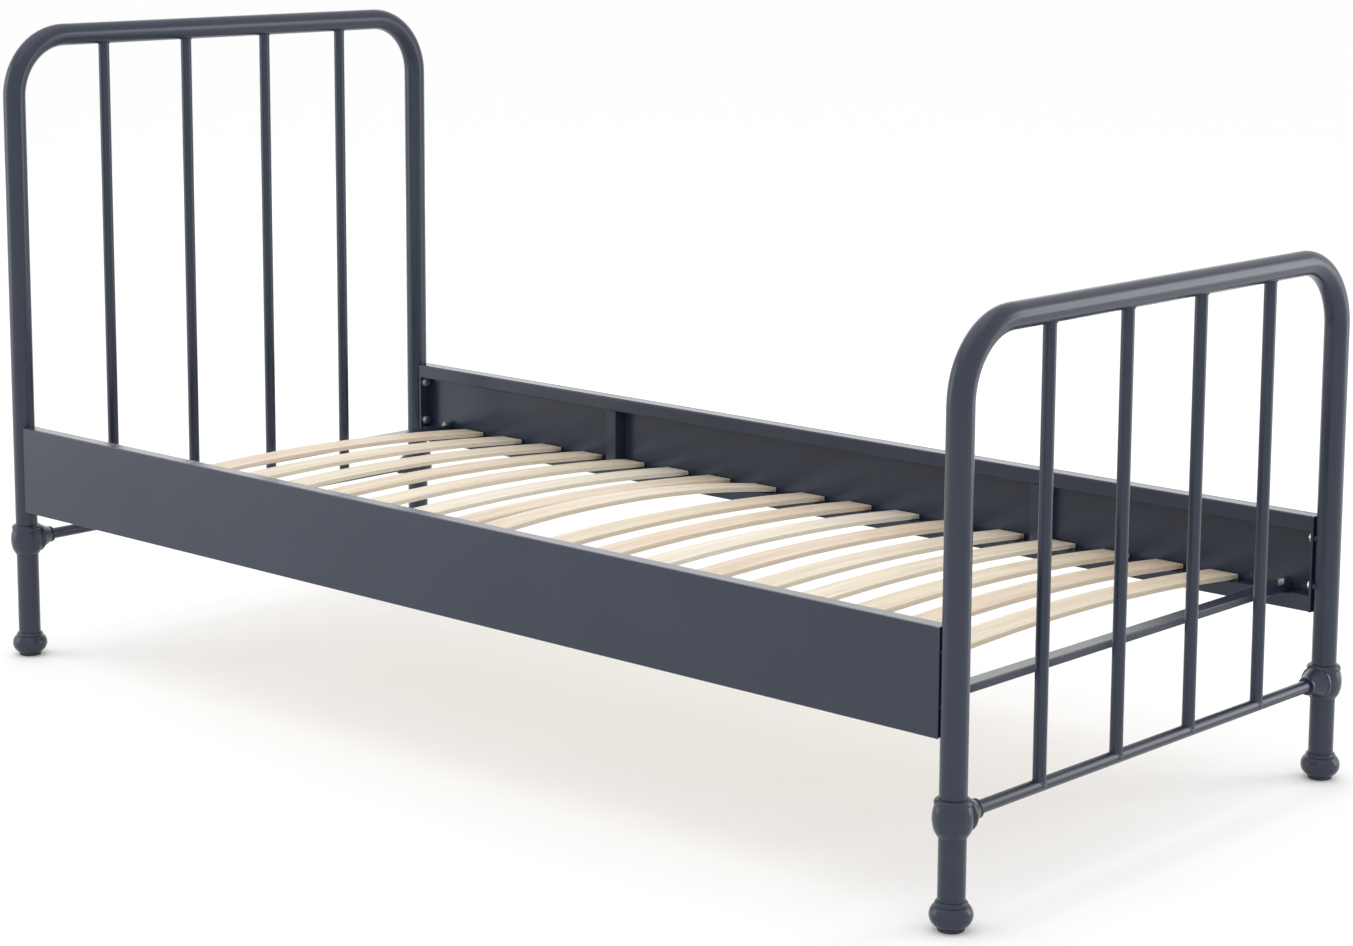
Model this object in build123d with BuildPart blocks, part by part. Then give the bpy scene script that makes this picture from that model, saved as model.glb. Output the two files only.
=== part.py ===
"""Single metal bed frame: tube headboard and footboard, bolted side rails and loose sprung slats.

The frame stands on Z = 0 with its origin under the middle of the bed. +X runs from the
headboard to the footboard, the near side is -Y and +Z is up. All sizes are in millimetres.
"""
import os

from build123d import *

# ---------------------------------------------------------------- mattress and overall heights
mattress_length = 2000.0
mattress_width = 900.0
mattress_end_clearance = 4.0  # between the mattress and each pair of posts
mattress_side_clearance = 2.5  # between the mattress and each side rail
headboard_height = 1107.0
footboard_height = 829.0

# ---------------------------------------------------------------- headboard and footboard tubes
post_diameter = 38.0
post_wall = 1.5
corner_bend_radius = 105.0  # of the tube's centre line
spindle_diameter = 19.0
spindle_wall = 1.2
spindles_per_end = 4
lower_bar_diameter = 19.0
lower_bar_wall = 1.2
head_lower_bar_height = 209.0
foot_lower_bar_height = 155.0
weld_gap = 0.1  # joint line left at every welded edge

# ---------------------------------------------------------------- cast collars on the posts
cast_fit = 0.1  # sliding fit of each casting on its tube
collar_half_height = 26.0
collar_belly_radius = 28.0
collar_shoulder_radius = 24.8
collar_lip_radius = 20.6
collar_shoulder_drop = 19.0  # of the lower shoulder below the bar's axis
collar_bead_rise = 16.5  # of the bead's lower edge above the bar's axis
collar_bead_bulge = 0.9
boss_flange_radius = 25.5
boss_flange_reach = 19.0  # from the post's axis
boss_flange_thickness = 3.5
boss_ring_radius = 14.0
boss_ring_reach = 51.0
boss_ring_width = 4.5
boss_bevel = 1.0  # of the flange's and the ring's edges
bar_end_reach = 24.0  # from the post's axis to the lower bar's end

# ---------------------------------------------------------------- cast ball feet and their glides
foot_height = 41.0
foot_belly_radius = 29.8
foot_belly_height = 21.5
foot_base_radius = 19.5
foot_base_band = 1.5  # upright band under the belly
foot_shoulder_radius = 24.6
foot_shoulder_height = 34.5
foot_ring_radius = 22.6
foot_ring_step = 0.8  # of the slope between shoulder and ring
foot_lip_radius = 20.6
foot_lip_drop = 2.5  # of the ring's upper edge below the lip
foot_socket_floor = 12.0
glide_thickness = 4.0
glide_radius = 18.5
glide_bevel = 1.0
glide_stem_radius = 5.0
glide_stem_length = 5.5

# ---------------------------------------------------------------- side rails
rail_bottom = 260.0
rail_height = 150.0
rail_tube = 25.0
rail_tube_wall = 1.5
rail_tube_corner = 2.5
rail_sheet = 1.5
rail_sheet_overhang = 3.5  # of the sheet past the end plate
end_plate_thickness = 4.0
stiffener_slats = {"head": 5, "foot": 14}  # each stiffener stands on the head side of this slat
stiffener_slat_clearance = 1.0

# ---------------------------------------------------------------- bolted joint of rail and post
rail_bolt_over_tube = 14.5  # of the lower bolt's axis above the bottom tube
rail_bolt_under_tube = 10.5  # of the upper bolt's axis below the top tube
rail_bolt_diameter = 8.0
rail_bolt_flats = 13.0
rail_bolt_head = 5.3
rail_bolt_reach = 16.0  # of the shank past the end plate
rail_washer_radius = 8.0
rail_washer_thickness = 1.6
bush_radius = 6.0
bush_length = 14.0
bush_stand = 1.0  # of the bush proud of the post
thread_clearance = 0.1
bolt_hole_clearance = 0.5

# ---------------------------------------------------------------- cross bars
cross_bar_width = 25.0
cross_bar_height = 12.0
cross_bar_wall = 1.5
cross_bar_inset = 55.0  # from the rail's end plate to the bar's axis
cross_bar_end_clearance = 7.5  # to the rail's sheet
cross_bolt_diameter = 6.0
cross_bolt_flats = 10.0
cross_bolt_head = 4.0
cross_nut_height = 5.0
cross_bolt_tail = 2.5  # of thread past the nut
cross_washer_radius = 6.0
cross_washer_thickness = 1.6

# ---------------------------------------------------------------- slats
slat_width = 53.0
slat_thickness = 8.0
slat_rise = 24.0
strong_slat = 8  # this one slat is bent more than the rest
strong_slat_rise = 40.0
head_slat_distance = 73.5  # from the head cross bar's axis to the first slat's middle
foot_slat_distance = 110.5  # from the last slat's middle to the foot cross bar's axis
# how far each loose slat lies from its even place, from head to foot
slat_drifts = [0, -1, -1, 0, 2, 5, 1, 3, 9, 8, 6, 10, 13, 10, 9, 5, 0]
slat_end_clearance = 4.5  # to the rail's sheet
slat_edge_round = 1.5
seat_clearance = 0.05  # under a slat or a cross bar that only lies on its seat

# ---------------------------------------------------------------- derived places
post_radius = post_diameter / 2
post_x = mattress_length / 2 + mattress_end_clearance + post_radius
rail_inner_y = mattress_width / 2 + mattress_side_clearance
post_y = rail_inner_y + rail_tube / 2
rail_top = rail_bottom + rail_height
rail_tube_top_z = rail_top - rail_tube / 2
rail_tube_bottom_z = rail_bottom + rail_tube / 2
slat_seat_z = rail_bottom + rail_tube
sheet_inner_y = rail_inner_y + rail_tube + weld_gap
plate_outer_x = post_x - post_radius - bush_stand
plate_inner_x = plate_outer_x - end_plate_thickness
cross_bar_reach = plate_inner_x - cross_bar_inset
rail_tube_length = 2 * (plate_inner_x - weld_gap)
sheet_length = 2 * (plate_outer_x + rail_sheet_overhang)
rail_bolt_heights = [
    rail_bottom + rail_tube + rail_bolt_over_tube,
    rail_top - rail_tube - rail_bolt_under_tube,
]
cross_bar_base_z = slat_seat_z + seat_clearance
cross_bar_top_z = cross_bar_base_z + cross_bar_height
cross_bar_half_length = sheet_inner_y - cross_bar_end_clearance
slat_half_length = sheet_inner_y - slat_end_clearance
slat_pitch = (2 * cross_bar_reach - head_slat_distance - foot_slat_distance) / (len(slat_drifts) - 1)
slat_places = [
    -cross_bar_reach + head_slat_distance + number * slat_pitch + drift
    for number, drift in enumerate(slat_drifts)
]

os.makedirs("parts", exist_ok=True)


def keep(piece: Part, label: str) -> None:
    """Label a finished piece and write it to its own STEP file."""
    piece.label = label
    export_step(piece, f"parts/{label}.step")


# ================================================================ headboard and footboard
def make_end_tube(x: float, height: float, inward: int) -> Part:
    """Bend one tube into both posts and the top bar, and drill the posts for their bushes."""
    top_z = height - post_radius
    with BuildPart() as end_tube:
        with BuildLine(Plane.YZ.offset(x)) as route:
            FilletPolyline(
                (-post_y, foot_socket_floor),
                (-post_y, top_z),
                (post_y, top_z),
                (post_y, foot_socket_floor),
                radius=corner_bend_radius,
            )
        with BuildSketch(Plane(origin=(x, -post_y, foot_socket_floor), z_dir=(0, 0, 1))):
            Circle(post_radius)
            Circle(post_radius - post_wall, mode=Mode.SUBTRACT)
        sweep(path=route.line)
        with BuildSketch(Plane.YZ.offset(x)):
            with Locations(*[(side * post_y, z) for side in (-1, 1) for z in rail_bolt_heights]):
                Circle(bush_radius + cast_fit)
        extrude(amount=inward * 2 * post_radius, mode=Mode.SUBTRACT)
    return end_tube.part


def make_spindle(x: float, y: float, bar_z: float, height: float) -> Part:
    """Make one upright spindle, coped to the lower bar below and to the bent tube above."""
    top_z = height - post_radius
    with BuildPart() as spindle:
        with BuildSketch(Plane(origin=(x, y, bar_z), z_dir=(0, 0, 1))):
            Circle(spindle_diameter / 2)
            Circle(spindle_diameter / 2 - spindle_wall, mode=Mode.SUBTRACT)
        extrude(amount=top_z - bar_z)
        with BuildSketch(Plane.XZ.offset(-y)):
            with Locations((x, bar_z)):
                Circle(lower_bar_diameter / 2 + weld_gap)
            with Locations((x, top_z)):
                Circle(post_radius + weld_gap)
        extrude(amount=spindle_diameter, both=True, mode=Mode.SUBTRACT)
    return spindle.part


def make_lower_bar(x: float, bar_z: float) -> Part:
    """Make the thin tube that joins the two collars of one end."""
    with BuildPart() as lower_bar:
        with BuildSketch(Plane(origin=(x, 0, bar_z), x_dir=(1, 0, 0), z_dir=(0, 1, 0))):
            Circle(lower_bar_diameter / 2)
            Circle(lower_bar_diameter / 2 - lower_bar_wall, mode=Mode.SUBTRACT)
        extrude(amount=post_y - bar_end_reach, both=True)
    return lower_bar.part


def make_collar(x: float, side: int, bar_z: float) -> Part:
    """Cast one collar: a barrel round the post and a flared boss that takes the lower bar."""
    y = side * post_y
    bead_mid = (collar_bead_rise + collar_half_height) / 2
    with BuildPart() as collar:
        # barrel, turned about the post
        with BuildSketch(Plane(origin=(x, y, bar_z), x_dir=(1, 0, 0), z_dir=(0, -1, 0))):
            with BuildLine():
                Line((0, -collar_half_height), (collar_lip_radius, -collar_half_height))
                Line(
                    (collar_lip_radius, -collar_half_height),
                    (collar_shoulder_radius, -collar_shoulder_drop),
                )
                ThreePointArc(
                    (collar_shoulder_radius, -collar_shoulder_drop),
                    (collar_belly_radius, 0),
                    (collar_shoulder_radius, collar_bead_rise),
                )
                ThreePointArc(
                    (collar_shoulder_radius, collar_bead_rise),
                    (collar_shoulder_radius + collar_bead_bulge, bead_mid),
                    (collar_lip_radius, collar_half_height),
                )
                Line((collar_lip_radius, collar_half_height), (0, collar_half_height))
                Line((0, collar_half_height), (0, -collar_half_height))
            make_face()
        revolve(axis=Axis((x, y, bar_z), (0, 0, 1)))
        # boss, turned about the lower bar: flange, cone and end ring
        with BuildSketch(Plane(origin=(x, y, bar_z), x_dir=(0, -side, 0), z_dir=(side, 0, 0))):
            flange_front = boss_flange_reach + boss_flange_thickness
            ring_back = boss_ring_reach - boss_ring_width
            with BuildLine():
                Polyline(
                    (boss_flange_reach / 2, 0),
                    (boss_flange_reach / 2, collar_lip_radius),
                    (boss_flange_reach, boss_flange_radius),
                    (flange_front, boss_flange_radius),
                    (flange_front + boss_bevel, boss_flange_radius - 2 * boss_bevel),
                    (ring_back, boss_ring_radius - boss_bevel),
                    (ring_back, boss_ring_radius),
                    (boss_ring_reach - boss_bevel, boss_ring_radius),
                    (boss_ring_reach, boss_ring_radius - boss_bevel),
                    (boss_ring_reach, 0),
                    close=True,
                )
            make_face()
        revolve(axis=Axis((x, y, bar_z), (0, -side, 0)))
        # bore for the post and socket for the bar
        with BuildSketch(Plane(origin=(x, y, bar_z), z_dir=(0, 0, 1))):
            Circle(post_radius + cast_fit)
        extrude(amount=collar_half_height, both=True, mode=Mode.SUBTRACT)
        with BuildSketch(Plane(origin=(x, y, bar_z), x_dir=(1, 0, 0), z_dir=(0, -side, 0))):
            Circle(lower_bar_diameter / 2 + cast_fit)
        extrude(amount=boss_ring_reach, mode=Mode.SUBTRACT)
    return collar.part


def make_ball_foot(x: float, y: float) -> Part:
    """Cast one ball foot with a blind socket for the post and a hole for the glide's stem."""
    band_top = glide_thickness + foot_base_band
    with BuildPart() as ball_foot:
        with BuildSketch(Plane(origin=(x, y, 0), x_dir=(1, 0, 0), z_dir=(0, -1, 0))):
            with BuildLine():
                Line((0, glide_thickness), (foot_base_radius, glide_thickness))
                Line((foot_base_radius, glide_thickness), (foot_base_radius, band_top))
                ThreePointArc(
                    (foot_base_radius, band_top),
                    (foot_belly_radius, foot_belly_height),
                    (foot_shoulder_radius, foot_shoulder_height),
                )
                Polyline(
                    (foot_shoulder_radius, foot_shoulder_height),
                    (foot_ring_radius, foot_shoulder_height + foot_ring_step),
                    (foot_ring_radius, foot_height - foot_lip_drop),
                    (foot_lip_radius, foot_height),
                    (0, foot_height),
                    (0, glide_thickness),
                )
            make_face()
        revolve(axis=Axis((x, y, 0), (0, 0, 1)))
        with BuildSketch(Plane(origin=(x, y, foot_socket_floor), z_dir=(0, 0, 1))):
            Circle(post_radius + cast_fit)
        extrude(amount=foot_height, mode=Mode.SUBTRACT)
        with BuildSketch(Plane(origin=(x, y, 0), z_dir=(0, 0, 1))):
            Circle(glide_stem_radius + cast_fit)
        extrude(amount=glide_thickness + glide_stem_length + cast_fit, mode=Mode.SUBTRACT)
    return ball_foot.part


clear_width = 2 * (post_y - post_radius) - spindles_per_end * spindle_diameter
spindle_pitch = clear_width / (spindles_per_end + 1) + spindle_diameter
first_spindle_y = -spindle_pitch * (spindles_per_end - 1) / 2

ends = {
    "head": (-post_x, headboard_height, head_lower_bar_height, 1),
    "foot": (post_x, footboard_height, foot_lower_bar_height, -1),
}
sides = {"near": -1, "far": 1}

for end, (x, height, bar_z, inward) in ends.items():
    keep(make_end_tube(x, height, inward), f"{end}board_tube")
    keep(make_lower_bar(x, bar_z), f"{end}board_lower_bar")
    for number in range(spindles_per_end):
        spindle_y = first_spindle_y + number * spindle_pitch
        keep(make_spindle(x, spindle_y, bar_z, height), f"{end}board_spindle_{number + 1}")
    for side_name, side in sides.items():
        keep(make_collar(x, side, bar_z), f"{end}_{side_name}_collar")
        keep(make_ball_foot(x, side * post_y), f"{end}_{side_name}_ball_foot")

with BuildPart() as foot_glides:
    with BuildSketch():
        with GridLocations(2 * post_x, 2 * post_y, 2, 2):
            Circle(glide_radius)
    extrude(amount=glide_thickness)
    chamfer(foot_glides.faces().filter_by(Axis.Z).group_by(Axis.Z)[0].edges(), glide_bevel)
    with BuildSketch(Plane.XY.offset(glide_thickness)):
        with GridLocations(2 * post_x, 2 * post_y, 2, 2):
            Circle(glide_stem_radius)
    extrude(amount=glide_stem_length)
keep(foot_glides.part, "foot_glides")


# ================================================================ side rails
def make_rail_tube(side: int, z: float, drilled: bool) -> Part:
    """Make one square tube of a side rail; the lower one's top wall is drilled for the cross bars."""
    with BuildPart() as rail_tube_part:
        with BuildSketch(Plane(origin=(0, side * post_y, z), x_dir=(0, 1, 0), z_dir=(1, 0, 0))):
            RectangleRounded(rail_tube, rail_tube, rail_tube_corner)
            RectangleRounded(
                rail_tube - 2 * rail_tube_wall,
                rail_tube - 2 * rail_tube_wall,
                rail_tube_corner - rail_tube_wall,
                mode=Mode.SUBTRACT,
            )
        extrude(amount=rail_tube_length / 2, both=True)
        if drilled:
            with BuildSketch(Plane(origin=(0, side * post_y, z), z_dir=(0, 0, 1))):
                with GridLocations(2 * cross_bar_reach, 0, 2, 1):
                    Circle(cross_bolt_diameter / 2 + bolt_hole_clearance)
            extrude(amount=rail_tube, mode=Mode.SUBTRACT)
    return rail_tube_part.part


def make_stiffener(side: int, x: float) -> Part:
    """Make one upright square tube between a rail's top and bottom tubes."""
    with BuildPart() as stiffener:
        foot_z = rail_bottom + rail_tube + weld_gap
        with BuildSketch(Plane(origin=(x, side * post_y, foot_z), z_dir=(0, 0, 1))):
            RectangleRounded(rail_tube, rail_tube, rail_tube_corner)
            RectangleRounded(
                rail_tube - 2 * rail_tube_wall,
                rail_tube - 2 * rail_tube_wall,
                rail_tube_corner - rail_tube_wall,
                mode=Mode.SUBTRACT,
            )
        extrude(amount=rail_height - 2 * rail_tube - 2 * weld_gap)
    return stiffener.part


def make_rail_sheet(side: int) -> Part:
    """Make the flat outer sheet of a side rail."""
    with BuildPart() as rail_sheet_part:
        middle_z = rail_bottom + rail_height / 2
        facing = Plane(origin=(0, side * sheet_inner_y, middle_z), x_dir=(1, 0, 0), z_dir=(0, side, 0))
        with BuildSketch(facing):
            Rectangle(sheet_length, rail_height)
        extrude(amount=rail_sheet)
        outer_face = rail_sheet_part.faces().sort_by(Axis.Y)[0 if side < 0 else -1]
        fillet(outer_face.edges(), rail_sheet / 2)
    return rail_sheet_part.part


def make_end_plate(side: int, end: int) -> Part:
    """Make the drilled plate that closes one end of a side rail."""
    with BuildPart() as end_plate:
        middle_z = rail_bottom + rail_height / 2
        facing = Plane(
            origin=(end * plate_inner_x, side * post_y, middle_z), x_dir=(0, end, 0), z_dir=(end, 0, 0)
        )
        with BuildSketch(facing):
            Rectangle(rail_tube, rail_height)
            with Locations(*[(0, z - middle_z) for z in rail_bolt_heights]):
                Circle(rail_bolt_diameter / 2 + bolt_hole_clearance, mode=Mode.SUBTRACT)
        extrude(amount=end_plate_thickness)
    return end_plate.part


for side_name, side in sides.items():
    keep(make_rail_sheet(side), f"{side_name}_rail_sheet")
    keep(make_rail_tube(side, rail_tube_top_z, drilled=False), f"{side_name}_rail_top_tube")
    keep(make_rail_tube(side, rail_tube_bottom_z, drilled=True), f"{side_name}_rail_bottom_tube")
    for end_name, end in (("head", -1), ("foot", 1)):
        beside_slat = slat_places[stiffener_slats[end_name] - 1] - slat_width / 2
        stiffener_x = beside_slat - stiffener_slat_clearance - rail_tube / 2
        keep(make_stiffener(side, stiffener_x), f"{side_name}_rail_{end_name}_stiffener")
        keep(make_end_plate(side, end), f"{side_name}_rail_{end_name}_plate")


# ================================================================ joint of rails and posts
# one pair of bolts in each rail end, all on the posts' middle planes and pointing outwards
def rail_joint_planes(reach: float) -> list[Plane]:
    """Return a plane on each rail bolt's axis, at one distance from the bed's middle."""
    return [
        Plane(origin=(end * reach, side * post_y, z), x_dir=(0, end, 0), z_dir=(end, 0, 0))
        for end in (-1, 1)
        for side in (-1, 1)
        for z in rail_bolt_heights
    ]


with BuildPart() as post_bushes:
    with BuildSketch(*rail_joint_planes(plate_outer_x)):
        Circle(bush_radius)
        Circle(rail_bolt_diameter / 2 + thread_clearance, mode=Mode.SUBTRACT)
    extrude(amount=bush_length)
keep(post_bushes.part, "post_bushes")

with BuildPart() as rail_washers:
    with BuildSketch(*rail_joint_planes(plate_inner_x - rail_washer_thickness)):
        Circle(rail_washer_radius)
        Circle(rail_bolt_diameter / 2 + thread_clearance, mode=Mode.SUBTRACT)
    extrude(amount=rail_washer_thickness)
keep(rail_washers.part, "rail_washers")

rail_head_seat_x = plate_inner_x - rail_washer_thickness
with BuildPart() as rail_bolts:
    with BuildSketch(*rail_joint_planes(rail_head_seat_x - rail_bolt_head)):
        RegularPolygon(rail_bolt_flats / 2, 6, major_radius=False)
    extrude(amount=rail_bolt_head)
    with BuildSketch(*rail_joint_planes(rail_head_seat_x)):
        Circle(rail_bolt_diameter / 2)
    extrude(amount=rail_washer_thickness + end_plate_thickness + rail_bolt_reach)
keep(rail_bolts.part, "rail_bolts")


# ================================================================ cross bars and their bolts
def make_cross_bar(end: int) -> Part:
    """Make the flat tube that lies across the lower rail tubes at one end of the slats."""
    with BuildPart() as cross_bar:
        middle_z = cross_bar_base_z + cross_bar_height / 2
        facing = Plane(
            origin=(end * cross_bar_reach, 0, middle_z), x_dir=(1, 0, 0), z_dir=(0, -1, 0)
        )
        with BuildSketch(facing):
            RectangleRounded(cross_bar_width, cross_bar_height, cross_bar_wall)
            Rectangle(
                cross_bar_width - 2 * cross_bar_wall,
                cross_bar_height - 2 * cross_bar_wall,
                mode=Mode.SUBTRACT,
            )
        extrude(amount=cross_bar_half_length, both=True)
        with BuildSketch(Plane(origin=(end * cross_bar_reach, 0, middle_z), z_dir=(0, 0, 1))):
            with GridLocations(0, 2 * post_y, 1, 2):
                Circle(cross_bolt_diameter / 2 + bolt_hole_clearance)
        extrude(amount=cross_bar_height, both=True, mode=Mode.SUBTRACT)
    return cross_bar.part


keep(make_cross_bar(-1), "head_cross_bar")
keep(make_cross_bar(1), "foot_cross_bar")

cross_bolt_grid = GridLocations(2 * cross_bar_reach, 2 * post_y, 2, 2)
nut_top_z = rail_bottom + rail_tube - rail_tube_wall  # weld nuts, inside the lower rail tubes
nut_base_z = nut_top_z - cross_nut_height
cross_head_z = cross_bar_top_z + cross_washer_thickness

with BuildPart() as cross_bar_bolts:
    with BuildSketch(Plane.XY.offset(cross_head_z)):
        with cross_bolt_grid:
            RegularPolygon(cross_bolt_flats / 2, 6, major_radius=False)
    extrude(amount=cross_bolt_head)
    with BuildSketch(Plane.XY.offset(nut_base_z - cross_bolt_tail)):
        with cross_bolt_grid:
            Circle(cross_bolt_diameter / 2)
    extrude(amount=cross_head_z - nut_base_z + cross_bolt_tail)
keep(cross_bar_bolts.part, "cross_bar_bolts")

with BuildPart() as cross_bar_washers:
    with BuildSketch(Plane.XY.offset(cross_bar_top_z)):
        with cross_bolt_grid:
            Circle(cross_washer_radius)
            Circle(cross_bolt_diameter / 2 + thread_clearance, mode=Mode.SUBTRACT)
    extrude(amount=cross_washer_thickness)
keep(cross_bar_washers.part, "cross_bar_washers")

with BuildPart() as cross_bar_nuts:
    with BuildSketch(Plane.XY.offset(nut_base_z)):
        with cross_bolt_grid:
            RegularPolygon(cross_bolt_flats / 2, 6, major_radius=False)
            Circle(cross_bolt_diameter / 2 + thread_clearance, mode=Mode.SUBTRACT)
    extrude(amount=cross_nut_height)
keep(cross_bar_nuts.part, "cross_bar_nuts")


# ================================================================ slats
def make_slat(x: float, rise: float) -> Part:
    """Make one sprung slat, bent upwards and resting on the rails by its two end edges."""
    seat_z = slat_seat_z + seat_clearance
    with BuildPart() as slat:
        with BuildLine(Plane.YZ.offset(x)) as underside:
            ThreePointArc((-slat_half_length, seat_z), (0, seat_z + rise), (slat_half_length, seat_z))
        bow = underside.line
        with BuildSketch(Plane(origin=bow @ 0, x_dir=(-1, 0, 0), z_dir=bow % 0)):
            with Locations((0, slat_thickness / 2)):
                RectangleRounded(slat_width, slat_thickness, slat_edge_round)
        sweep(path=bow)
    return slat.part


for number, slat_x in enumerate(slat_places, start=1):
    rise = strong_slat_rise if number == strong_slat else slat_rise
    keep(make_slat(slat_x, rise), f"slat_{number:02d}")
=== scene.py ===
"""Looks for a single metal bed frame: powder-coated steel, zinc-plated bolts and bent wooden slats.

Everything is in metres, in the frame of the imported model: +X runs from the headboard to the
footboard, the near side is -Y, +Z is up and the floor is Z = 0.
"""

import logging
import math
from dataclasses import dataclass
from enum import Enum

import bmesh
import bpy
from mathutils import Matrix, Vector

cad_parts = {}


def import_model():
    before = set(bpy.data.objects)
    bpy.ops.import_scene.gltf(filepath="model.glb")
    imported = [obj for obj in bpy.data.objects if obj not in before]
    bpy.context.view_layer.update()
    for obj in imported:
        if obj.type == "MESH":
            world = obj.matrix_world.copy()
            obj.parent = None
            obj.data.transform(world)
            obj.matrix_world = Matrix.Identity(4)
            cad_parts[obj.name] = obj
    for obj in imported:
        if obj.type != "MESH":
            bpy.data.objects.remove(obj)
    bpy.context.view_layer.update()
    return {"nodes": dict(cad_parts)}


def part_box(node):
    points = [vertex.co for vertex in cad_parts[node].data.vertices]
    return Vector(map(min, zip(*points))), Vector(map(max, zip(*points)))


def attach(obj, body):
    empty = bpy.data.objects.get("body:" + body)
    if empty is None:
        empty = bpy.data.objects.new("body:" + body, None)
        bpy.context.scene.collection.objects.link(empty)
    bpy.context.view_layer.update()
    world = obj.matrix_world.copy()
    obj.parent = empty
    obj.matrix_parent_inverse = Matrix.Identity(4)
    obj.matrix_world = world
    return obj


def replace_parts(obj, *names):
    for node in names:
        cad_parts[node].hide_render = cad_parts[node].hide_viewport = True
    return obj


log = logging.getLogger("bed")

Colour = tuple[float, float, float]
Spacing = tuple[float, float, float]


class Wire:
    """A shader socket that can be used in ordinary arithmetic."""

    def __init__(self, sheet: "FinishSheet", socket: bpy.types.NodeSocket) -> None:
        """Wrap one output socket of a finish.

        Args:
            sheet: The finish that the socket belongs to.
            socket: The output socket.
        """
        self.sheet = sheet
        self.socket = socket

    def math(self, operation: str, *others: "Wire | float") -> "Wire":
        """Add one Math node.

        Args:
            operation: The node's operation.
            others: The inputs after this one.

        Returns:
            The result.
        """
        values = dict(enumerate([self, *others]))
        return self.sheet.wire("ShaderNodeMath", {"operation": operation}, values)

    def __add__(self, other: "Wire | float") -> "Wire":
        """Add."""
        return self.math("ADD", other)

    def __radd__(self, other: float) -> "Wire":
        """Add to a number."""
        return self.math("ADD", other)

    def __sub__(self, other: "Wire | float") -> "Wire":
        """Subtract."""
        return self.math("SUBTRACT", other)

    def __rsub__(self, other: float) -> "Wire":
        """Subtract from a number."""
        return (self * -1.0).math("ADD", other)

    def __mul__(self, other: "Wire | float") -> "Wire":
        """Multiply."""
        return self.math("MULTIPLY", other)

    def __rmul__(self, other: float) -> "Wire":
        """Multiply a number."""
        return self.math("MULTIPLY", other)

    def __truediv__(self, other: "Wire | float") -> "Wire":
        """Divide."""
        return self.math("DIVIDE", other)

    def __gt__(self, other: float) -> "Wire":
        """Give 1 where this is the greater."""
        return self.math("GREATER_THAN", other)

    def __lt__(self, other: float) -> "Wire":
        """Give 1 where this is the smaller."""
        return self.math("LESS_THAN", other)

    def __abs__(self) -> "Wire":
        """Drop the sign."""
        return self.math("ABSOLUTE")

    def fraction(self) -> "Wire":
        """Keep what is after the decimal point."""
        return self.math("FRACT")

    def pulse(self, centre: float, half_width: float) -> "Wire":
        """Make a soft-sided ridge.

        Args:
            centre: The value where the ridge is 1.
            half_width: How far from there it falls to 0.

        Returns:
            The ridge, from 0 to 1.
        """
        return (1.0 - abs(self - centre) / half_width).math("MAXIMUM", 0.0)


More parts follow.
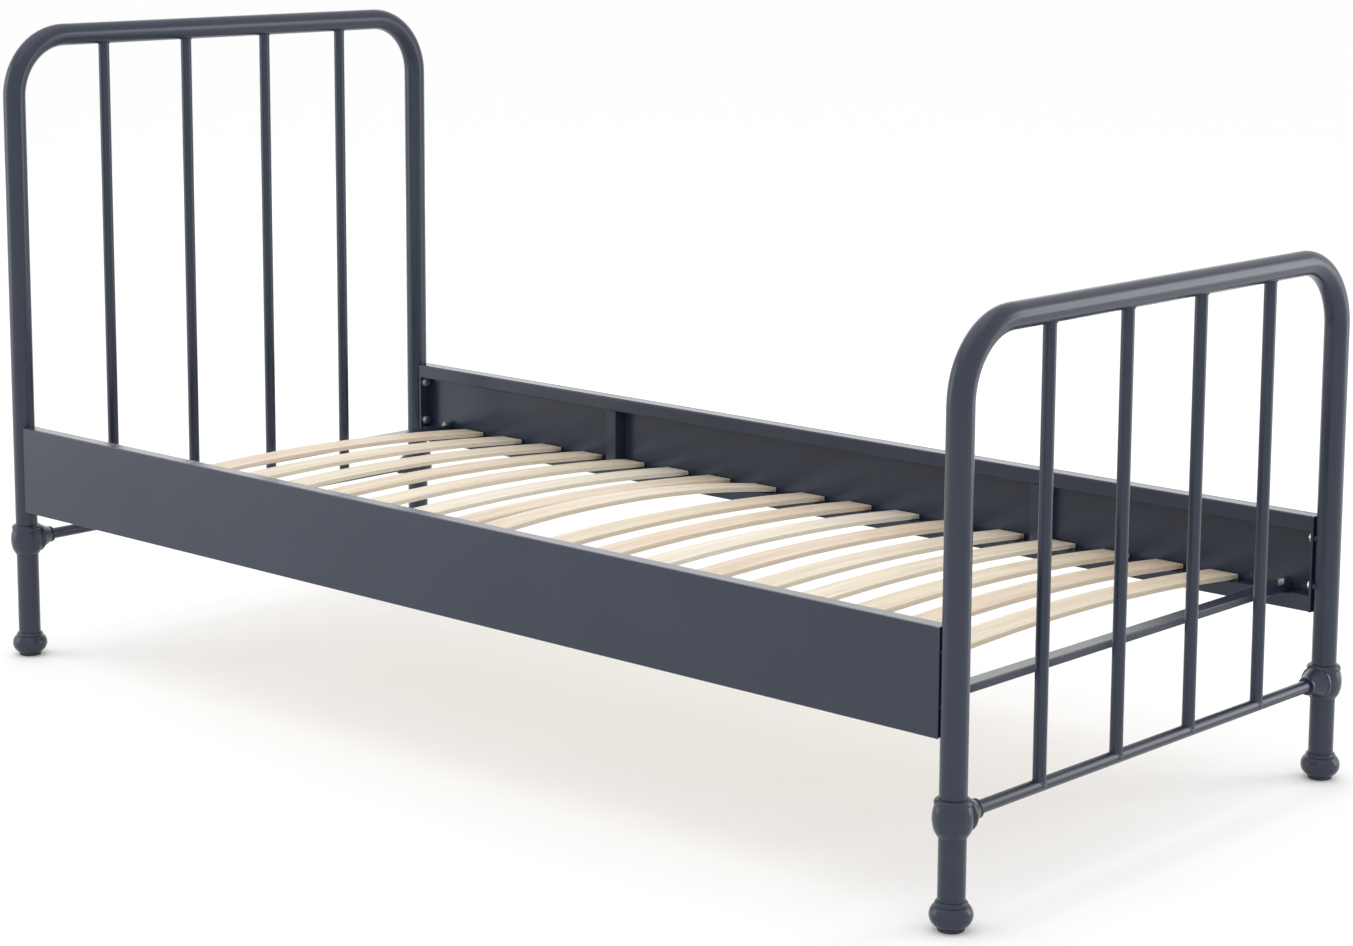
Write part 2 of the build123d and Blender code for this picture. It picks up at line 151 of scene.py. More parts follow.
class FinishSheet:
    """The recipe of one finish, as shader nodes."""

    def __init__(self, name: str) -> None:
        """Start an empty finish.

        Args:
            name: The finish's name.
        """
        self.material = bpy.data.materials.new(name)
        self.material.use_nodes = True
        self.material.node_tree.nodes.clear()

    def node(
        self,
        kind: str,
        settings: dict[str, str] | None = None,
        values: "dict[str | int, Wire | float | tuple] | None" = None,
    ) -> bpy.types.Node:
        """Add one node.

        Args:
            kind: The node's type.
            settings: Its settings, which are set first.
            values: A value or a wire for each input named.

        Returns:
            The node.
        """
        made = self.material.node_tree.nodes.new(kind)
        for name, value in (settings or {}).items():
            setattr(made, name, value)
        for name, value in (values or {}).items():
            socket = made.inputs[name]
            if isinstance(value, Wire):
                self.material.node_tree.links.new(value.socket, socket)
            elif isinstance(value, tuple) and len(value) < len(socket.default_value):
                socket.default_value = (*value, 1.0)
            else:
                socket.default_value = value
        return made

    def wire(
        self,
        kind: str,
        settings: dict[str, str] | None = None,
        values: "dict[str | int, Wire | float | tuple] | None" = None,
        output: str | int = 0,
    ) -> Wire:
        """Add one node and take one of its outputs.

        Args:
            kind: The node's type.
            settings: Its settings.
            values: A value or a wire for each input named.
            output: The output to take.

        Returns:
            The output.
        """
        return Wire(self, self.node(kind, settings, values).outputs[output])

    def place(self) -> Wire:
        """Give the point's place on the bed."""
        return self.wire("ShaderNodeTexCoord", output="Object")

    def axes(self, output: str = "Object") -> list[Wire]:
        """Split a Texture Coordinate output.

        Args:
            output: The output, such as Object or Normal.

        Returns:
            Its X, Y and Z.
        """
        whole = self.wire("ShaderNodeTexCoord", output=output)
        split = self.node("ShaderNodeSeparateXYZ", values={0: whole})
        return [Wire(self, socket) for socket in split.outputs]

    def noise(self, per_metre: Spacing, detail: float, distortion: float = 0.0) -> Wire:
        """Add soft noise, stretched along the bed's axes.

        Args:
            per_metre: How many features there are to a metre along X, Y and Z.
            detail: How many finer layers it has.
            distortion: How much it swirls.

        Returns:
            The noise, from 0 to 1 about a half.
        """
        stretched = self.wire("ShaderNodeMapping", values={"Vector": self.place(), "Scale": per_metre})
        values = {"Vector": stretched, "Scale": 1.0, "Detail": detail, "Distortion": distortion}
        return self.wire("ShaderNodeTexNoise", values=values)

    def mix(self, share: "Wire | float", first: "Wire | Colour", second: "Wire | Colour") -> Wire:
        """Mix two colours.

        Args:
            share: How much of the second there is.
            first: The first colour.
            second: The second colour.

        Returns:
            The mixed colour.
        """
        made = self.node("ShaderNodeMix", {"data_type": "RGBA"}, {0: share, 6: first, 7: second})
        return Wire(self, made.outputs[2])

    def bump(self, height: Wire, depth: float) -> Wire:
        """Turn a height into a surface normal.

        Args:
            height: The height, from 0 to 1.
            depth: The depth of a height of 1, in metres.

        Returns:
            The normal.
        """
        values = {"Strength": 1.0, "Distance": depth, "Height": height}
        return self.wire("ShaderNodeBump", values=values, output="Normal")

    def finish(self, **values: "Wire | float | tuple") -> bpy.types.Material:
        """Add the shader and its output.

        Args:
            values: The shader's inputs, with _ for a space in a name.

        Returns:
            The finished material.
        """
        named = {name.replace("_", " "): value for name, value in values.items()}
        shader = self.wire("ShaderNodeBsdfPrincipled", values=named)
        self.node("ShaderNodeOutputMaterial", values={"Surface": shader})
        return self.material


@dataclass(frozen=True)
class PowderCoat:
    """Dark slate satin powder coat, baked on, with its fine orange peel.

    seam_at is the Y of a casting's parting line, seam_half_width its half width and seam_height how
    many peel depths it stands up. A contrast is how far a pattern moves the colour between the two
    colours, and a spread is how far it moves the roughness.
    """

    name: str
    colour: Colour = (0.015, 0.022, 0.041)
    light: Colour = (0.022, 0.030, 0.052)
    roughness: float = 0.24
    gloss: float = 0.42
    clouds_per_metre: float = 7.0
    cloud_contrast: float = 1.2
    cloud_spread: float = 0.10
    specks_per_metre: float = 2600.0
    speck_contrast: float = 0.5
    speck_height: float = 0.25
    peel_per_metre: float = 900.0
    peel_spread: float = 0.08
    peel_depth: float = 0.00006
    seam_at: float | None = None
    seam_half_width: float = 0.0006
    seam_height: float = 6.0

    def make(self) -> bpy.types.Material:
        """Make the coat, with a casting's parting line where seam_at gives its Y.

        Returns:
            The coat.
        """
        sheet = FinishSheet(self.name)
        cloud = sheet.noise((self.clouds_per_metre,) * 3, 3.0)
        speck = sheet.noise((self.specks_per_metre,) * 3, 1.0)
        peel = sheet.noise((self.peel_per_metre,) * 3, 2.0)
        height = peel + speck * self.speck_height
        if self.seam_at is not None:
            seam = sheet.axes()[1].pulse(self.seam_at, self.seam_half_width)
            height = height + self.seam_height * seam
        share = (cloud - 0.5) * self.cloud_contrast + (speck - 0.5) * self.speck_contrast + 0.5
        return sheet.finish(
            Base_Color=sheet.mix(share, self.colour, self.light),
            Roughness=self.roughness + (cloud - 0.5) * self.cloud_spread + (peel - 0.5) * self.peel_spread,
            Specular_IOR_Level=self.gloss,
            Normal=sheet.bump(height, self.peel_depth),
        )


@dataclass(frozen=True)
class ZincPlate:
    """Bright zinc plating on bolts, nuts, washers and bushes."""

    name: str = "zinc_plate"
    pale: Colour = (0.80, 0.80, 0.78)
    dull: Colour = (0.58, 0.59, 0.62)
    roughness: float = 0.24
    clouds_per_metre: float = 160.0
    cloud_spread: float = 0.16
    lines_per_metre: Spacing = (1500.0, 1500.0, 3200.0)
    line_depth: float = 0.00002

    def make(self) -> bpy.types.Material:
        """Make the plating, with its faint clouding and drawn lines.

        Returns:
            The plating.
        """
        sheet = FinishSheet(self.name)
        cloud = sheet.noise((self.clouds_per_metre,) * 3, 3.0)
        lines = sheet.noise(self.lines_per_metre, 1.0)
        return sheet.finish(
            Base_Color=sheet.mix(cloud, self.dull, self.pale),
            Metallic=1.0,
            Roughness=self.roughness + cloud * self.cloud_spread,
            Normal=sheet.bump(lines, self.line_depth),
        )


@dataclass(frozen=True)
class MouldedPlastic:
    """Black moulded plastic of the glides under the feet."""

    name: str = "glide_plastic"
    colour: Colour = (0.018, 0.018, 0.020)
    scuffed: Colour = (0.060, 0.060, 0.062)
    roughness: float = 0.45
    grain_per_metre: float = 1400.0
    grain_depth: float = 0.00005
    scuffs_per_metre: Spacing = (90.0, 90.0, 300.0)
    scuff_start: float = 0.45
    scuff_contrast: float = 1.4
    scuff_spread: float = 0.25

    def make(self) -> bpy.types.Material:
        """Make the plastic, scuffed a little.

        Returns:
            The plastic.
        """
        sheet = FinishSheet(self.name)
        grain = sheet.noise((self.grain_per_metre,) * 3, 2.0)
        scuff = sheet.noise(self.scuffs_per_metre, 4.0)
        worn = (scuff - self.scuff_start) * self.scuff_contrast
        return sheet.finish(
            Base_Color=sheet.mix(worn, self.colour, self.scuffed),
            Roughness=self.roughness + scuff * self.scuff_spread,
            Normal=sheet.bump(grain, self.grain_depth),
        )


class Tone(Enum):
    """How light or warm one slat's face veneer is: its pale and its dark colour."""

    CREAM = ((0.765, 0.690, 0.555), (0.560, 0.450, 0.310))
    STRAW = ((0.735, 0.645, 0.500), (0.530, 0.415, 0.280))
    ROSE = ((0.740, 0.630, 0.495), (0.545, 0.410, 0.285))
    IVORY = ((0.790, 0.735, 0.620), (0.600, 0.510, 0.375))


@dataclass(frozen=True)
class BentVeneer:
    """Glued birch veneers, bent into a slat: long grain on top and plies along the edges.

    seat is the height of the slat's ends, rise how far its middle stands above them, and
    glue_half_width a glue line's half width as a share of one ply. Each pattern is stretched along
    the slat. Its contrast is how far it moves the colour from the pale to the dark one.
    """

    tone: Tone
    seat: float
    rise: float
    half_length: float
    thickness: float
    plies: int = 6
    darkness: float = 0.22
    rings_per_metre: float = 170.0
    ring_waver: float = 9.0
    ring_contrast: float = 0.26
    figure_per_metre: Spacing = (30.0, 1.7, 30.0)
    figure_swirl: float = 0.6
    fibres_per_metre: Spacing = (380.0, 5.0, 380.0)
    fibre_contrast: float = 1.5
    pores_per_metre: Spacing = (1100.0, 30.0, 1100.0)
    pore_start: float = 0.58
    pore_steepness: float = 5.0
    pore_contrast: float = 0.5
    patches_per_metre: Spacing = (9.0, 2.3, 9.0)
    patch_contrast: float = 0.8
    crossed_contrast: float = 0.45
    glue_half_width: float = 0.09
    glue_contrast: float = 0.55
    end_fibre_contrast: float = 0.6
    plied_pale: float = 0.90
    plied_dark: float = 0.62
    roughness: float = 0.52
    fibre_spread: float = 0.16
    edge_roughness: float = 0.14
    fibre_height: float = 0.6
    pore_sink: float = 0.5
    glue_sink: float = 0.8
    grain_depth: float = 0.00012

    def make(self) -> bpy.types.Material:
        """Make one slat's wood, with its grain along the slat.

        Returns:
            The wood.
        """
        sheet = FinishSheet(f"slat_{self.tone.name.lower()}_{round(self.rise * 1000)}")
        pale, dark = self.tone.value
        across, along, up = sheet.axes()
        figure = sheet.noise(self.figure_per_metre, 3.0, self.figure_swirl)
        rings = (across * self.rings_per_metre + figure * self.ring_waver).math("SINE") * 0.5 + 0.5
        fibre = sheet.noise(self.fibres_per_metre, 4.0)
        pitted = sheet.noise(self.pores_per_metre, 1.0) - self.pore_start
        pores = pitted.math("MAXIMUM", 0.0) * self.pore_steepness
        patch = sheet.noise(self.patches_per_metre, 2.0)
        grain = rings * self.ring_contrast + (fibre - 0.5) * self.fibre_contrast
        face = grain + (patch - 0.5) * self.patch_contrast + self.darkness
        out = along / self.half_length
        bent = self.seat + self.rise * (1.0 - out * out)
        ply = (up - bent) / self.thickness * float(self.plies)
        crossed = (ply * 0.5).fraction() > 0.5
        within = ply.fraction()
        glue = within.pulse(0.0, self.glue_half_width) + within.pulse(1.0, self.glue_half_width)
        edge = abs(sheet.axes("Normal")[2]) < 0.5
        faced = sheet.mix(face + pores * self.pore_contrast, pale, dark)
        layers = crossed * self.crossed_contrast + glue * self.glue_contrast
        shade = layers + (fibre - 0.5) * self.end_fibre_contrast
        pale_ply = tuple(self.plied_pale * part for part in pale)
        dark_ply = tuple(self.plied_dark * part for part in dark)
        plied = sheet.mix(shade, pale_ply, dark_ply)
        height = fibre * self.fibre_height - pores * self.pore_sink - glue * edge * self.glue_sink
        return sheet.finish(
            Base_Color=sheet.mix(edge, faced, plied),
            Roughness=self.roughness + (fibre - 0.5) * self.fibre_spread + edge * self.edge_roughness,
            Normal=sheet.bump(height, self.grain_depth),
        )


@dataclass(frozen=True)
class StudioPaper:
    """Plain pale paper that the bed stands on."""

    name: str = "studio_paper"
    colour: Colour = (0.94, 0.94, 0.94)
    roughness: float = 0.85
    tooth_per_metre: float = 400.0
    tooth_depth: float = 0.00003

    def make(self) -> bpy.types.Material:
        """Make the paper.

        Returns:
            The paper.
        """
        sheet = FinishSheet(self.name)
        tooth = sheet.noise((self.tooth_per_metre,) * 3, 2.0)
        normal = sheet.bump(tooth, self.tooth_depth)
        return sheet.finish(Base_Color=self.colour, Roughness=self.roughness, Normal=normal)


def cover(node: bpy.types.Object, finish: bpy.types.Material) -> None:
    """Give a CAD node one finish all over.

    Args:
        node: The node's object.
        finish: The finish.
    """
    if not node.material_slots:
        node.data.materials.append(finish)
    for held in node.material_slots:
        held.material = finish
    log.info("%s: %s", node.name, finish.name)


def add_piece(
    name: str, shape: bmesh.types.BMesh, finish: bpy.types.Material, smooth: bool
) -> bpy.types.Object:
    """Turn a shape into a piece of the bed.

    Args:
        name: The piece's name.
        shape: Its shape, which is used up.
        finish: Its finish.
        smooth: Whether its faces are shaded as one curved skin.

    Returns:
        The piece.
    """
    bmesh.ops.recalc_face_normals(shape, faces=shape.faces)
    for face in shape.faces:
        face.smooth = smooth
    mesh = bpy.data.meshes.new(name)
    shape.to_mesh(mesh)
    shape.free()
    mesh.materials.append(finish)
    piece = bpy.data.objects.new(name, mesh)
    bpy.context.scene.collection.objects.link(piece)
    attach(piece, "root")
    log.info("%s: %d faces", name, len(mesh.polygons))
    return piece


def stamp(shape: bmesh.types.BMesh, form: bmesh.types.BMesh, place: Matrix) -> None:
    """Set a finished form into a larger shape.

    Args:
        shape: The shape to add to.
        form: The form, which is used up.
        place: Where it goes.
    """
    bmesh.ops.transform(form, matrix=place, verts=form.verts)
    carrier = bpy.data.meshes.new("carrier")
    form.to_mesh(carrier)
    form.free()
    shape.from_mesh(carrier)
    bpy.data.meshes.remove(carrier)


def lay_ring_bead(
    shape: bmesh.types.BMesh, centre: Vector, radius: float, bead: float, tube: float, side: int
) -> None:
    """Lay the weld bead that runs round an upright where it meets a level tube along Y.

    Args:
        shape: The shape to add to.
        centre: Where the two centre lines cross.
        radius: The upright's radius.
        bead: The bead's own radius.
        tube: The level tube's radius.
        side: 1 if the upright stands on the tube, -1 if it hangs under it.
    """
    ripples, steps, ripple_height = 17, 68, 0.10
    form = bmesh.new()
    upright_section = Matrix.Translation((radius, 0, 0)) @ Matrix.Rotation(math.pi / 2, 4, "X")
    bmesh.ops.create_circle(form, segments=8, radius=bead, matrix=upright_section)
    section = [*form.verts, *form.edges]
    bmesh.ops.spin(form, geom=section, axis=(0, 0, 1), angle=2 * math.pi, steps=steps, use_merge=True)
    for vert in form.verts:
        turn = math.atan2(vert.co.y, vert.co.x)
        core = Vector((math.cos(turn), math.sin(turn), 0)) * radius
        spot = core + (vert.co - core) * (1.0 + ripple_height * math.cos(ripples * turn))
        level = math.sqrt(max(tube * tube - min(abs(spot.x), radius) ** 2, 0.0))
        vert.co = spot + Vector((0, 0, side * level))
    stamp(shape, form, Matrix.Translation(centre))


def lay_straight_bead(shape: bmesh.types.BMesh, start: Vector, end: Vector, bead: float) -> None:
    """Lay a straight weld bead along a corner.

    Args:
        shape: The shape to add to.
        start: Its start.
        end: Its end.
        bead: Its radius.
    """
    drop_pitch, fewest_drops = 0.0016, 4
    run = end - start
    count = max(fewest_drops, round(run.length / drop_pitch))
    turned = run.to_track_quat("Z", "Y").to_matrix().to_4x4()
    flattened = Matrix.Diagonal((1.0, 1.0, 0.95, 1.0))
    for number in range(count):
        share = (number + 0.5) / count
        step = Matrix.Translation(start + run * share) @ turned @ flattened
        bmesh.ops.create_icosphere(shape, subdivisions=1, radius=bead, matrix=step)


def cut_hexagon(
    shape: bmesh.types.BMesh, flats: float, height: float, place: Matrix, ends: tuple[bool, bool]
) -> None:
    """Cut a hexagon head or nut with turned corners.

    Args:
        shape: The shape to add to.
        flats: The width across the flats.
        height: The height, from the local origin up.
        place: Where it goes.
        ends: Whether the lower and the upper corners are turned.
    """
    form = bmesh.new()
    level_tolerance, rim_width, turning_angle = 1e-7, flats * 0.04, math.radians(30)
    turned = flats / 2 * 0.95
    corner = flats / math.sqrt(3)
    middle = Matrix.Translation((0, 0, height / 2))
    bmesh.ops.create_cone(
        form, cap_ends=True, segments=6, radius1=corner, radius2=corner, depth=height, matrix=middle
    )
    for wanted, level, way in ((ends[0], 0.0, 1.0), (ends[1], height, -1.0)):
        if not wanted:
            continue
        rim = [e for e in form.edges if all(abs(v.co.z - level) < level_tolerance for v in e.verts)]
        bmesh.ops.subdivide_edges(form, edges=rim, cuts=5)
        cap = next(f for f in form.faces if all(abs(v.co.z - level) < level_tolerance for v in f.verts))
        outer = [tuple(v.co) for v in cap.verts]
        bmesh.ops.inset_individual(form, faces=[cap], thickness=rim_width, use_even_offset=True)
        for vert in [v for v in form.verts if abs(v.co.z - level) < level_tolerance]:
            flat = Vector((vert.co.x, vert.co.y, 0))
            if tuple(vert.co) in outer:
                vert.co.z += way * (flat.length - turned) * math.tan(turning_angle)
            else:
                vert.co = flat.normalized() * turned + Vector((0, 0, level))
    stamp(shape, form, place)


@dataclass
class EndFrame:
    """The headboard or the footboard: bent tube, spindles, lower bar, collars and ball feet."""

    name: str
    nodes: dict[str, bpy.types.Object]
    spindles: int = 4
    tube_radius: float = 0.019
    spindle_radius: float = 0.0095
    bar_radius: float = 0.0095
    bead: float = 0.0016

    def dress(self, coat: bpy.types.Material) -> None:
        """Paint the tubes, and the castings with their parting lines.

        Args:
            coat: The coat of the tubes.
        """
        board = f"{self.name}board"
        tubes = [f"{board}_tube", f"{board}_lower_bar"]
        tubes += [f"{board}_spindle_{number + 1}" for number in range(self.spindles)]
        for node in tubes:
            cover(self.nodes[node], coat)
        for side in ("near", "far"):
            low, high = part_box(f"{self.name}_{side}_ball_foot")
            cast = PowderCoat(
                name=f"cast_coat_{self.name}_{side}",
                roughness=0.27,
                peel_per_metre=520.0,
                peel_depth=0.00011,
                seam_at=(low.y + high.y) / 2,
            ).make()
            cover(self.nodes[f"{self.name}_{side}_collar"], cast)
            cover(self.nodes[f"{self.name}_{side}_ball_foot"], cast)

    def weld_spindles(self, coat: bpy.types.Material) -> bpy.types.Object:
        """Weld each spindle to the bent tube above and to the lower bar below.

        Args:
            coat: The coat over the welds.

        Returns:
            The beads, as one piece.
        """
        shape = bmesh.new()
        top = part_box(f"{self.name}board_tube")[1].z - self.tube_radius
        bar_low, bar_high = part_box(f"{self.name}board_lower_bar")
        for number in range(self.spindles):
            low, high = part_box(f"{self.name}board_spindle_{number + 1}")
            middle = (low + high) / 2
            above = Vector((middle.x, middle.y, top))
            below = Vector((middle.x, middle.y, (bar_low.z + bar_high.z) / 2))
            lay_ring_bead(shape, above, self.spindle_radius, self.bead, self.tube_radius, -1)
            lay_ring_bead(shape, below, self.spindle_radius, self.bead, self.bar_radius, 1)
        return add_piece(f"{self.name}board_spindle_welds", shape, coat, True)


@dataclass
class SideRail:
    """One side rail: outer sheet, two square tubes, two stiffeners and two end plates."""

    name: str
    nodes: dict[str, bpy.types.Object]
    bead: float = 0.0014
    face_bead: float = 0.00098
    stiffener_margin: float = 0.003
    plate_margin: float = 0.002

    def dress(self, coat: bpy.types.Material) -> None:
        """Paint the rail.

        Args:
            coat: Its coat.
        """
        for node, piece in self.nodes.items():
            if node.startswith(f"{self.name}_rail"):
                cover(piece, coat)

    def weld_frame(self, coat: bpy.types.Material) -> bpy.types.Object:
        """Weld the stiffeners and the end plates to the two tubes, on the faces that show.

        Args:
            coat: The coat over the welds.

        Returns:
            The beads, as one piece.
        """
        shape = bmesh.new()
        inner = 1 if self.name == "near" else -1
        for end, way in (("head", 1), ("foot", -1)):
            low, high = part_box(f"{self.name}_rail_{end}_stiffener")
            plate_low, plate_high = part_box(f"{self.name}_rail_{end}_plate")
            plate_x = plate_high.x if way > 0 else plate_low.x
            lines = [(x, self.stiffener_margin) for x in (low.x, high.x)]
            lines.append((plate_x, self.plate_margin))
            for z in (low.z, high.z):
                for x, margin in lines:
                    start, stop = Vector((x, low.y + margin, z)), Vector((x, high.y - margin, z))
                    lay_straight_bead(shape, start, stop, self.bead)
        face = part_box(f"{self.name}_rail_top_tube")[1 if inner > 0 else 0].y
        for end in ("head", "foot"):
            low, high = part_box(f"{self.name}_rail_{end}_stiffener")
            for z in (low.z, high.z):
                start = Vector((low.x + self.stiffener_margin, face, z))
                stop = Vector((high.x - self.stiffener_margin, face, z))
                lay_straight_bead(shape, start, stop, self.face_bead)
        return add_piece(f"{self.name}_rail_welds", shape, coat, True)


@dataclass
class Fasteners:
    """The bolts, nuts, washers and bushes that hold the bed together."""

    nodes: dict[str, bpy.types.Object]
    rail_flats: float = 0.013
    rail_head: float = 0.0053
    rail_shank: float = 0.004
    rail_washer: float = 0.008
    washer_thickness: float = 0.0016
    cross_flats: float = 0.010
    cross_head: float = 0.004
    cross_shank: float = 0.003
    cross_washer: float = 0.006

    def dress(self, zinc: bpy.types.Material) -> None:
        """Plate the washers and bushes that stay as they are.

        Args:
            zinc: The plating.
        """
        for node in ("post_bushes", "rail_washers", "cross_bar_washers"):
            cover(self.nodes[node], zinc)

    def rail_bolts(self, zinc: bpy.types.Material) -> bpy.types.Object:
        """Make the hexagon bolts that hold the rails to the posts.

        Args:
            zinc: The plating.

        Returns:
            The bolts, as one piece.
        """
        shape = bmesh.new()
        low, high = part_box("rail_bolts")
        seat_low, seat_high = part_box("rail_washers")
        reach = seat_high.x - self.washer_thickness
        length = high.x - reach
        for end in (-1, 1):
            for y in (seat_low.y + self.rail_washer, seat_high.y - self.rail_washer):
                for z in (seat_low.z + self.rail_washer, seat_high.z - self.rail_washer):
                    outward = Matrix.Rotation(end * math.pi / 2, 4, "Y")
                    seat = Matrix.Translation((end * reach, y, z)) @ outward
                    self.bolt(shape, seat, self.rail_flats, self.rail_head, self.rail_shank, length)
        piece = add_piece("rail_joint_bolts", shape, zinc, False)
        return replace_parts(piece, "rail_bolts")

    def cross_bolts(self, zinc: bpy.types.Material) -> bpy.types.Object:
        """Make the hexagon bolts that hold the cross bars to the rails.

        Args:
            zinc: The plating.

        Returns:
            The bolts, as one piece.
        """
        shape = bmesh.new()
        low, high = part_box("cross_bar_bolts")
        seat_low, seat_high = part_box("cross_bar_washers")
        for x in (seat_low.x + self.cross_washer, seat_high.x - self.cross_washer):
            for y in (seat_low.y + self.cross_washer, seat_high.y - self.cross_washer):
                downward = Matrix.Rotation(math.pi, 4, "X")
                seat = Matrix.Translation((x, y, seat_high.z)) @ downward
                length = seat_high.z - low.z
                self.bolt(shape, seat, self.cross_flats, self.cross_head, self.cross_shank, length)
        piece = add_piece("cross_bar_bolt_set", shape, zinc, False)
        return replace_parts(piece, "cross_bar_bolts")

    def cross_nuts(self, zinc: bpy.types.Material) -> bpy.types.Object:
        """Make the weld nuts inside the lower rail tubes.

        Args:
            zinc: The plating.

        Returns:
            The nuts, as one piece.
        """
        shape = bmesh.new()
        low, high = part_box("cross_bar_nuts")
        seat_low, seat_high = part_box("cross_bar_washers")
        for x in (seat_low.x + self.cross_washer, seat_high.x - self.cross_washer):
            for y in (seat_low.y + self.cross_washer, seat_high.y - self.cross_washer):
                seat = Matrix.Translation((x, y, low.z))
                cut_hexagon(shape, self.cross_flats, high.z - low.z, seat, (True, True))
        piece = add_piece("cross_bar_nut_set", shape, zinc, False)
        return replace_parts(piece, "cross_bar_nuts")

    def bolt(
        self,
        shape: bmesh.types.BMesh,
        seat: Matrix,
        flats: float,
        head: float,
        shank: float,
        length: float,
    ) -> None:
        """Make one bolt, with its head below its seat and its shank above.

        Args:
            shape: The shape to add to.
            seat: The place of the head's underside, with local Z along the shank.
            flats: The head's width across the flats.
            head: The head's height.
            shank: The shank's radius.
            length: The shank's length.
        """
        cut_hexagon(shape, flats, head, seat @ Matrix.Translation((0, 0, -head)), (True, False))
        point = shank * 0.25
        for start, depth, tip in ((0.0, length - point, shank), (length - point, point, shank - point)):
            middle = seat @ Matrix.Translation((0, 0, start + depth / 2))
            bmesh.ops.create_cone(
                shape, cap_ends=True, segments=24, radius1=shank, radius2=tip, depth=depth, matrix=middle
            )


@dataclass
class SlatBase:
    """The loose bent slats and the two cross bars."""

    nodes: dict[str, bpy.types.Object]
    thickness: float = 0.008
    tones: tuple[Tone, ...] = (
        Tone.ROSE, Tone.CREAM, Tone.CREAM, Tone.STRAW, Tone.CREAM, Tone.IVORY,
        Tone.ROSE, Tone.CREAM, Tone.STRAW, Tone.ROSE, Tone.IVORY, Tone.ROSE,
        Tone.CREAM, Tone.CREAM, Tone.STRAW, Tone.ROSE, Tone.STRAW,
    )

    def dress(self, coat: bpy.types.Material) -> None:
        """Give each slat its own tone of wood, and the cross bars their coat.

        Args:
            coat: The coat of the cross bars.
        """
        woods: dict[tuple[Tone, float], bpy.types.Material] = {}
        for number, tone in enumerate(self.tones):
            node = f"slat_{number + 1:02d}"
            low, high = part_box(node)
            rise = round(high.z - low.z - self.thickness, 4)
            if (tone, rise) not in woods:
                woods[tone, rise] = BentVeneer(tone, low.z, rise, high.y, self.thickness).make()
            cover(self.nodes[node], woods[tone, rise])
        for end in ("head", "foot"):
            cover(self.nodes[f"{end}_cross_bar"], coat)


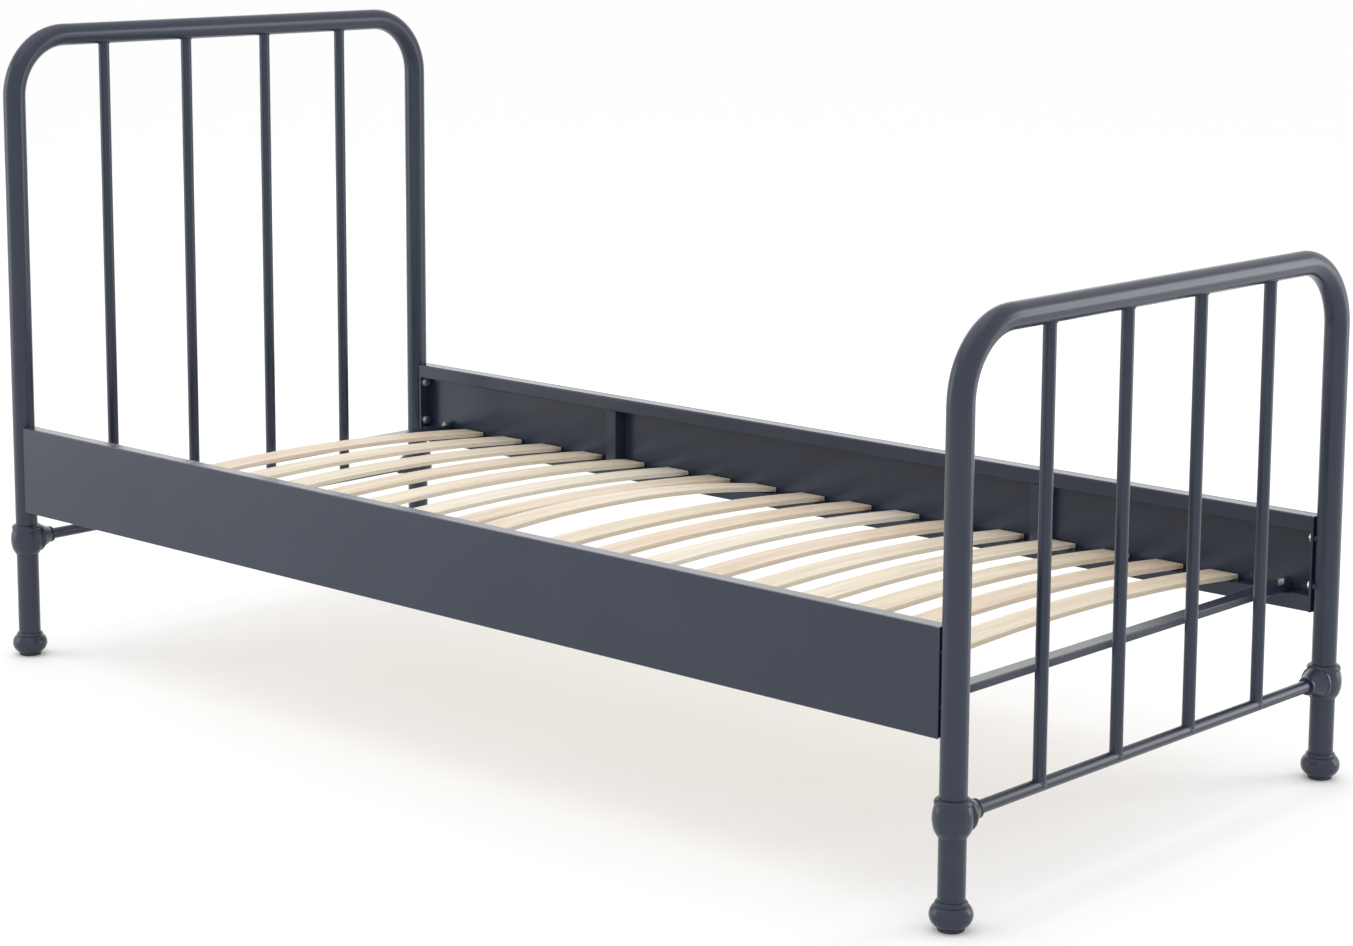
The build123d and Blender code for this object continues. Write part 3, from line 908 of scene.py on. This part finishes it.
@dataclass
class Studio:
    """The pale floor, the soft lights and the camera.

    The camera's azimuth, elevation and roll are in degrees, and its focal length is in widths of the
    image.
    """

    floor_radius: float = 60.0
    room_strength: float = 1.05
    aim_height: float = 0.4
    sensor_width: float = 36.0
    focal_widths: float = 2.2622
    place: tuple[float, float, float] = (3.3756, -3.5663, 1.4068)
    azimuth: float = 42.582
    elevation: float = -9.025
    roll: float = 0.263
    shift: float = -0.10

    def floor(self) -> bpy.types.Object:
        """Lay the floor.

        Returns:
            The floor.
        """
        shape = bmesh.new()
        bmesh.ops.create_circle(shape, cap_ends=True, segments=64, radius=self.floor_radius)
        mesh = bpy.data.meshes.new("studio_floor")
        shape.to_mesh(mesh)
        shape.free()
        mesh.materials.append(StudioPaper().make())
        floor = bpy.data.objects.new("studio_floor", mesh)
        bpy.context.scene.collection.objects.link(floor)
        return floor

    def softbox(
        self, name: str, place: tuple[float, float, float], size: tuple[float, float], power: float
    ) -> None:
        """Hang one softbox that faces the bed.

        Args:
            name: Its name.
            place: Where it hangs.
            size: Its width and height.
            power: Its power in watts.
        """
        lamp = bpy.data.lights.new(name, "AREA")
        lamp.shape = "RECTANGLE"
        lamp.size, lamp.size_y = size
        lamp.energy = power
        holder = bpy.data.objects.new(name, lamp)
        holder.location = place
        towards = Vector((0, 0, self.aim_height)) - Vector(place)
        holder.rotation_euler = towards.to_track_quat("-Z", "Y").to_euler()
        holder.visible_camera = False
        bpy.context.scene.collection.objects.link(holder)

    def light(self) -> None:
        """Light the studio: a white room, a box overhead, two at the sides and a wide one beyond."""
        world = bpy.data.worlds.new("white_room")
        world.use_nodes = True
        walls = world.node_tree.nodes["Background"]
        walls.inputs["Color"].default_value = (1.0, 1.0, 1.0, 1.0)
        walls.inputs["Strength"].default_value = self.room_strength
        bpy.context.scene.world = world
        bpy.context.scene.view_settings.view_transform = "Standard"
        self.softbox("overhead_box", place=(-0.6, -0.8, 4.6), size=(4.5, 4.5), power=38.0)
        self.softbox("window_side_box", place=(-3.6, -2.8, 1.4), size=(1.8, 2.8), power=32.0)
        self.softbox("footboard_side_box", place=(3.2, 3.4, 1.3), size=(1.6, 2.6), power=45.0)
        self.softbox("backdrop_box", place=(-6.0, 6.0, 2.8), size=(7.0, 3.6), power=60.0)

    def camera(self) -> None:
        """Stand the camera beyond the footboard's near corner, at chest height."""
        turn, tilt, lean = (math.radians(a) for a in (self.azimuth, self.elevation, self.roll))
        reach = math.cos(tilt)
        ahead = Vector((-math.sin(turn) * reach, math.cos(turn) * reach, math.sin(tilt)))
        level = Vector((math.cos(turn), math.sin(turn), 0))
        upright = level.cross(ahead)
        right = level * math.cos(lean) + upright * math.sin(lean)
        up = upright * math.cos(lean) - level * math.sin(lean)
        lens = bpy.data.cameras.new("bed_camera")
        lens.sensor_width = self.sensor_width
        lens.lens = self.focal_widths * self.sensor_width
        lens.shift_y = self.shift
        stand = bpy.data.objects.new("bed_camera", lens)
        turned = Matrix((right, up, -ahead)).transposed().to_4x4()
        stand.matrix_world = Matrix.Translation(self.place) @ turned
        bpy.context.scene.collection.objects.link(stand)
        bpy.context.scene.camera = stand


def main() -> None:
    """Load the bed, dress each part of it, and set up the studio."""
    logging.basicConfig(level=logging.INFO, format="%(name)s %(message)s")
    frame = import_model()
    nodes = frame["nodes"]
    tube_coat = PowderCoat("tube_coat").make()
    rail_coat = PowderCoat("rail_coat", peel_per_metre=760.0, peel_depth=0.00008).make()
    weld_coat = PowderCoat(
        "weld_coat", roughness=0.34, peel_per_metre=1300.0, peel_depth=0.00010
    ).make()
    zinc = ZincPlate().make()
    for end in ("head", "foot"):
        board = EndFrame(end, nodes)
        board.dress(tube_coat)
        board.weld_spindles(weld_coat)
    for side in ("near", "far"):
        rail = SideRail(side, nodes)
        rail.dress(rail_coat)
        rail.weld_frame(weld_coat)
    fasteners = Fasteners(nodes)
    fasteners.dress(zinc)
    fasteners.rail_bolts(zinc)
    fasteners.cross_bolts(zinc)
    fasteners.cross_nuts(zinc)
    SlatBase(nodes).dress(rail_coat)
    cover(nodes["foot_glides"], MouldedPlastic().make())
    studio = Studio()
    studio.floor()
    studio.light()
    studio.camera()


if __name__ == "__main__":
    main()
